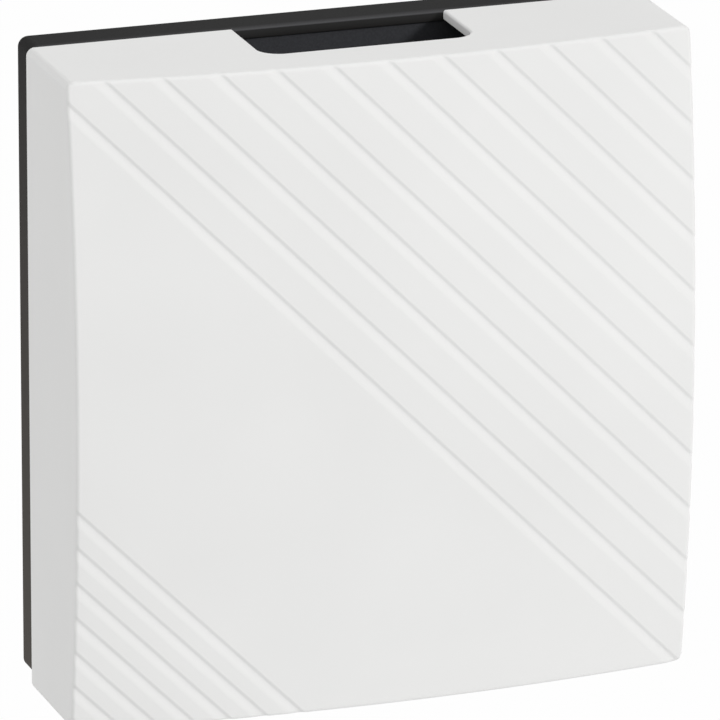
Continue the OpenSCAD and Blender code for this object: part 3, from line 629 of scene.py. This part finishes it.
# The lines run along Z; the real ones, about 0.05 mm apart, are drawn at 0.35 mm so that they show
stretch = add(
    tree, "ShaderNodeMapping", {"Vector": where, "Scale": (1 / (0.35 * MM), 1 / (0.35 * MM), 1 / (30 * MM))}
)
lines = add(tree, "ShaderNodeTexNoise", {"Vector": stretch.outputs["Vector"], "Scale": 1, "Detail": 2})
sheen = add(tree, "ShaderNodeMapRange", {"Value": lines.outputs["Fac"], "To Min": 0.2, "To Max": 0.42})
skin = add(tree, "ShaderNodeBump", {"Height": lines.outputs["Fac"], "Strength": 0.15, "Distance": 0.02 * MM})
feed(tree, shader, {"Base Color": tone.outputs[2], "Roughness": sheen.outputs["Result"], "Metallic": 1})
feed(tree, shader, {"Normal": skin.outputs["Normal"]})

for note in ("dong", "ding"):
    bm = ease(merged_copy("tone_plate_" + note), radius=0.4 * MM, steps=3)
    make_piece(note + "_bar", bm, bar_steel, "plated_steel", "base", "tone_plate_" + note)

# Plate grommets and screws: soft bobbins that let the bars ring, and the shouldered screws through them.
# Black rubber, pressed into the bars' holes; zinc-plated steel screws in the chassis plate's lugs.
bm = ease(merged_copy("plate_grommets"), radius=0.35 * MM, steps=3)
make_piece("bar_grommets", bm, rubber, "black_rubber", "base", "plate_grommets")


def inward(place):
    """The way a head looks when its screw goes in sideways, from the middle of the chime."""
    return Vector((-math.copysign(1, place.x), 0, 0))


bm = screws("plate_screws", inward)
make_piece("bar_shoulder_screws", bm, zinc, "screw_steel", "base", "plate_screws")

# Cover: the white domed front that pulls off, with diagonal grooves and a sound slot in its top wall.
# White ABS, injection moulded, satin; the grooves run out over the rounded front edge.
# It is sprung over the chassis plate's tongues, and its rear edge stands a little off the base's rim.
cover_low, cover_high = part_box("cover")
half_w = cover_high.x
half_h = cover_high.z
cover_back = cover_high.y
dome_r = 486 * MM
dome_y = cover_low.y + dome_r
corner_r = 1.9 * MM
front_edge_r = 0.85 * MM
wall = 2.2 * MM
front_wall = 2.6 * MM
slot_half = 24.7 * MM
slot_front = cover_back - 22 * MM
slot_corner_r = 5 * MM
groove_turn = math.radians(45.2)
groove_depth = 0.36 * MM
groove_slope = 2.3 * MM
groove_steep = 1 * MM
# One group of grooves goes from the middle to the upper right corner, the other lies at the lower left one
upper_start = -1.66 * MM
upper_pitch = 9.07 * MM
lower_start = -66.8 * MM
lower_pitch = 5.95 * MM
groove_places = [upper_start + upper_pitch * i for i in range(12)]
groove_places += [lower_start - lower_pitch * i for i in range(7)]
# Across a groove, in mm, where the front is cut into strips, from the foot of its slope to its wall's end
groove_strips = [
    -2.8, -2.45, -2.1, -1.75, -1.4, -1.05, -0.75, -0.5, -0.35, -0.2, -0.07, 0.07, 0.2, 0.35, 0.5
]
corner_facets = 7
across = Vector((math.sin(groove_turn), 0, math.cos(groove_turn)))
along = Vector((math.cos(groove_turn), 0, -math.sin(groove_turn)))


def trim_to_outline(bm, half_x, half_z, radius):
    """Trims a flat sheet to a rectangle whose corners are rounded in facets."""
    for sx in (-1, 1):
        cut(bm, (sx * half_x, 0, 0), (sx, 0, 0), clear=True)
    for sz in (-1, 1):
        cut(bm, (0, 0, sz * half_z), (0, 0, sz), clear=True)
    for sx in (-1, 1):
        for sz in (-1, 1):
            centre = Vector((sx * (half_x - radius), 0, sz * (half_z - radius)))
            for i in range(1, corner_facets):
                turn = math.pi / 2 * i / corner_facets
                out = Vector((sx * math.cos(turn), 0, sz * math.sin(turn)))
                cut(bm, centre + out * radius, out, clear=True)


def groove_at(distance):
    """Depth of the grooves at a distance across the dome: a gentle slope and a steep wall, both curved."""
    deepest = 0
    for place in groove_places:
        s = distance - place
        share = min((s + groove_steep / 2) / groove_slope + 1, 0.5 - s / groove_steep)
        share = min(max(share, 0), 1)
        deepest = max(deepest, groove_depth * share**2 * (3 - 2 * share))
    return deepest


def corner_faces(faces, centre):
    """Those of some faces that lie past a corner's centre, to the side and to the front."""
    middles = {f: f.calc_center_median() - centre for f in faces}
    return [f for f, away in middles.items() if away.x * centre.x > 0 and away.y < 0]


def open_slot(bm, height):
    """Opens the sound slot in the wall that lies at a height, with rounded front corners."""
    def wall_faces(half_x, front=cover_low.y):
        found = []
        for face in bm.faces:
            middle = face.calc_center_median()
            if abs(middle.z - height) < CLOSE and abs(middle.x) < half_x and middle.y > front:
                found.append(face)
        return found

    corner_x = slot_half - slot_corner_r
    corner_y = slot_front + slot_corner_r
    for sx in (-1, 1):
        cut(bm, (sx * slot_half, 0, 0), (1, 0, 0), wall_faces(half_w))
    cut(bm, (0, slot_front, 0), (0, 1, 0), wall_faces(slot_half))
    cut(bm, (0, corner_y, 0), (0, 1, 0), wall_faces(slot_half, slot_front))
    kept = set()
    for sx in (-1, 1):
        cut(bm, (sx * corner_x, 0, 0), (1, 0, 0), wall_faces(slot_half, slot_front))
        centre = Vector((sx * corner_x, corner_y, height))
        for i in range(1, corner_facets):
            turn = math.pi / 2 * i / corner_facets
            out = Vector((sx * math.cos(turn), -math.sin(turn), 0))
            near = corner_faces(wall_faces(slot_half, slot_front), centre)
            cut(bm, centre + out * slot_corner_r, out, near)
        for face in corner_faces(wall_faces(slot_half, slot_front), centre):
            if (face.calc_center_median() - centre).length > slot_corner_r:
                kept.add(face)
    gone = [f for f in wall_faces(slot_half, slot_front) if f not in kept]
    bmesh.ops.delete(bm, geom=gone, context="FACES")


def drop_walls(bm, skirt):
    """Draws the open edge of a front back to the cover's rear edge, as plain flat walls."""
    edges = [e for e in bm.edges if e.is_boundary]
    for depth in (skirt, None):
        made = bmesh.ops.extrude_edge_only(bm, edges=edges)["geom"]
        for v in made:
            if isinstance(v, bmesh.types.BMVert):
                v.co.y = cover_back if depth is None else v.co.y + depth
        edges = [e for e in made if isinstance(e, bmesh.types.BMEdge) and e.is_boundary]


upright = Matrix.Rotation(math.pi / 2, 4, "X")
sheet_half = 120 * MM
bm = bmesh.new()
bmesh.ops.create_grid(bm, x_segments=1, y_segments=1, size=sheet_half, matrix=upright)
trim_to_outline(bm, half_w, half_h, corner_r)
for place in groove_places:
    for strip in groove_strips:
        cut(bm, across * dome_r * math.sin((place + strip * MM) / dome_r), across)
# The dome is also cut across the grooves, and along them in the plain field between the two groups
dome_step = 10 * MM
for i in range(-10, 11):
    cut(bm, along * i * dome_step, along)
plain_low = -66 * MM
plain_step = 7 * MM
for i in range(1, 9):
    cut(bm, across * (plain_low + i * plain_step), across)
for share in edge_strips + [corner_r / front_edge_r]:
    inset = share * front_edge_r
    for sx in (-1, 1):
        cut(bm, (sx * (half_w - inset), 0, 0), (1, 0, 0))
        cut(bm, (0, 0, sx * (half_h - inset)), (0, 0, 1))
for v in bm.verts:
    rounded = edge_drop(inside_outline(v.co, half_w, half_h, corner_r), front_edge_r)
    groove = groove_at(dome_r * math.asin(v.co.dot(across) / dome_r))
    v.co.y = dome_y - math.sqrt(dome_r**2 - v.co.x**2 - v.co.z**2) + rounded + groove
drop_walls(bm, skirt=0.4 * MM)
open_slot(bm, half_h)

lining = bmesh.new()
bmesh.ops.create_grid(lining, x_segments=1, y_segments=1, size=sheet_half, matrix=upright)
trim_to_outline(lining, half_w - wall, half_h - wall, radius=0.4 * MM)
for i in range(-7, 8):
    cut(lining, (i * dome_step, 0, 0), (1, 0, 0))
    cut(lining, (0, 0, i * dome_step), (0, 0, 1))
for v in lining.verts:
    v.co.y = dome_y - math.sqrt((dome_r - front_wall) ** 2 - v.co.x**2 - v.co.z**2)
drop_walls(lining, skirt=0.4 * MM)
open_slot(lining, half_h - wall)
bmesh.ops.reverse_faces(lining, faces=lining.faces)
lining_mesh = bpy.data.meshes.new("cover_lining")
lining.to_mesh(lining_mesh)
lining.free()
bm.from_mesh(lining_mesh)
bpy.data.meshes.remove(lining_mesh)

# Plain walls: what the front's strips left in them is joined up again
flat_turn = math.radians(0.1)
wall_tilt = 1e-4
flat = [e for e in bm.edges if len(e.link_faces) == 2 and e.calc_face_angle(1) < flat_turn]
flat = [e for e in flat if all(abs(f.normal.y) < wall_tilt for f in e.link_faces)]
bmesh.ops.dissolve_edges(bm, edges=flat, use_verts=False, use_face_split=False)
straight = []
for v in bm.verts:
    if len(v.link_edges) == 2 and v.calc_edge_angle(1) < flat_turn:
        straight.append(v)
bmesh.ops.dissolve_verts(bm, verts=straight)
rims = bmesh.ops.bridge_loops(bm, edges=[e for e in bm.edges if e.is_boundary])["faces"]
bmesh.ops.recalc_face_normals(bm, faces=bm.faces)
slot_edges = []
for edge in {e for f in rims for e in f.edges}:
    on_top = all(abs(v.co.z - half_h) < CLOSE for v in edge.verts)
    if on_top and any(v.co.y < cover_back - 10 * CLOSE for v in edge.verts):
        slot_edges.append(edge)
ease(bm, radius=0.6 * MM, steps=5, edges=slot_edges)
inner_z = half_h - wall
rim_edges = []
for edge in bm.edges:
    at_back = all(v.co.y > cover_back - CLOSE for v in edge.verts)
    in_slot = all(abs(v.co.z - inner_z) < CLOSE and abs(v.co.x) < slot_half + MM for v in edge.verts)
    if edge.calc_face_angle(0) > SHARP and (at_back or in_slot):
        rim_edges.append(edge)
ease(bm, radius=0.25 * MM, steps=3, edges=rim_edges)

# Satin white ABS: nearly even, with a soft mould grain that leaves only a faint broad sheen
white_abs, tree, shader, where = start_material("white_abs_satin_moulded")
cloud = add(tree, "ShaderNodeTexNoise", {"Vector": where, "Scale": 1 / (45 * MM), "Detail": 2})
tone = add(
    tree, "ShaderNodeMix", {0: cloud.outputs["Fac"], 6: to_linear("#EBEBEA"), 7: to_linear("#F2F2F1")},
    data_type="RGBA",
)
# The real grain is about 0.1 mm; it is drawn at 0.5 mm so that it shows
grain = add(tree, "ShaderNodeTexNoise", {"Vector": where, "Scale": 1 / (0.5 * MM), "Detail": 2})
satin = add(tree, "ShaderNodeMapRange", {"Value": grain.outputs["Fac"], "To Min": 0.56, "To Max": 0.68})
skin = add(tree, "ShaderNodeBump", {"Height": grain.outputs["Fac"], "Strength": 0.2, "Distance": 0.02 * MM})
feed(tree, shader, {"Base Color": tone.outputs[2], "Roughness": satin.outputs["Result"], "IOR": 1.53})
feed(tree, shader, {"Normal": skin.outputs["Normal"], "Specular IOR Level": 0.1})

make_piece("cover_shell", bm, white_abs, "white_abs", "cover", "cover")

# Floor: a plain pale sheet, well below the chime because it hangs on a wall.
# To the camera and in reflections it is nearly white; it keeps a faint shadow.
floor_drop = 0.15
floor_half = 4
floor_glow = 0.96


def seen_directly(tree):
    """1 for rays of the camera, of reflections and through clear pieces, 0 for rays that only light."""
    path = add(tree, "ShaderNodeLightPath")
    seen = add(tree, "ShaderNodeMath", {0: path.outputs["Is Camera Ray"], 1: path.outputs["Is Glossy Ray"]})
    seen = add(
        tree, "ShaderNodeMath", {0: seen.outputs[0], 1: path.outputs["Is Transmission Ray"]}, use_clamp=True
    )
    return seen.outputs[0]


lowered = Matrix.Translation((0, 0, solid_box[0][2] - floor_drop))
bm = bmesh.new()
bmesh.ops.create_grid(bm, x_segments=1, y_segments=1, size=floor_half, matrix=lowered)
floor_mesh = bpy.data.meshes.new("floor")
bm.to_mesh(floor_mesh)
bm.free()
floor = bpy.data.objects.new("floor", floor_mesh)
bpy.context.scene.collection.objects.link(floor)
pale = bpy.data.materials.new("pale_floor")
pale.use_nodes = True
tree = pale.node_tree
shader = tree.nodes["Principled BSDF"]
feed(tree, shader, {"Base Color": to_linear("#F2F2F2"), "Roughness": 0.9, "Specular IOR Level": 0})
share = add(tree, "ShaderNodeMath", {0: seen_directly(tree), 1: floor_glow}, operation="MULTIPLY")
glow = add(tree, "ShaderNodeEmission", {"Color": (1, 1, 1, 1), "Strength": 1})
mixed = add(tree, "ShaderNodeMixShader", {0: share.outputs[0], 1: shader.outputs[0], 2: glow.outputs[0]})
tree.links.new(mixed.outputs[0], tree.nodes["Material Output"].inputs["Surface"])
floor_mesh.materials.append(pale)

# Light: an even white surround, a key lamp from the front right, and two broad lamps from the left,
# one high and one low and weak.
# The surround is white to the camera, in reflections and through clear pieces.
fill_level = 0.46
world = bpy.data.worlds.new("white_surround")
bpy.context.scene.world = world
world.use_nodes = True
tree = world.node_tree
level = add(tree, "ShaderNodeMapRange", {"Value": seen_directly(tree), "To Min": fill_level, "To Max": 1})
feed(tree, tree.nodes["Background"], {"Color": (1, 1, 1, 1), "Strength": level.outputs["Result"]})
# Name, way it comes from, strength and spread in degrees
for name, way, strength, spread in (
    ("soft_key", (0.56, -0.72, 0.41), 1.4, 10),
    ("soft_top", (-0.5, 0.075, 0.86), 0.83, 50),
    ("soft_left", (-0.93, 0.1, -0.36), 0.25, 50),
):
    light = bpy.data.lights.new(name, "SUN")
    light.energy = strength
    light.angle = math.radians(spread)
    lamp = bpy.data.objects.new(name, light)
    lamp.rotation_euler = Vector(way).to_track_quat("Z", "Y").to_euler()
    bpy.context.scene.collection.objects.link(lamp)

# Camera: a long lens, to the left of the chime and above it, turned to its middle.
# The chime's middle sits a little off the picture's middle, so the camera stands off by as much.
view_turn = math.radians(19.144)
view_height = math.radians(17.86)
view_roll = math.radians(0.154)
view_distance = 2.028
view_middle = Vector((0, -21.75 * MM, 0))
view_right = 1.995 * MM
view_down = 1.724 * MM
right = Vector((math.cos(view_turn), -math.sin(view_turn), 0))
level_back = Vector((-math.sin(view_turn), -math.cos(view_turn), 0))
back = math.cos(view_height) * level_back + math.sin(view_height) * Vector((0, 0, 1))
up = back.cross(right)
right, up = (
    math.cos(view_roll) * right + math.sin(view_roll) * up,
    -math.sin(view_roll) * right + math.cos(view_roll) * up,
)
lens = bpy.data.cameras.new("camera")
lens.sensor_width = 36
lens.lens = 453.52
lens.clip_start = 0.1
lens.clip_end = 50
camera = bpy.data.objects.new("camera", lens)
stand = view_middle + view_right * right - view_down * up + view_distance * back
camera.matrix_world = Matrix.Translation(stand) @ Matrix((right, up, back)).transposed().to_4x4()
bpy.context.scene.collection.objects.link(camera)
bpy.context.scene.camera = camera
bpy.context.scene.view_settings.view_transform = "Standard"
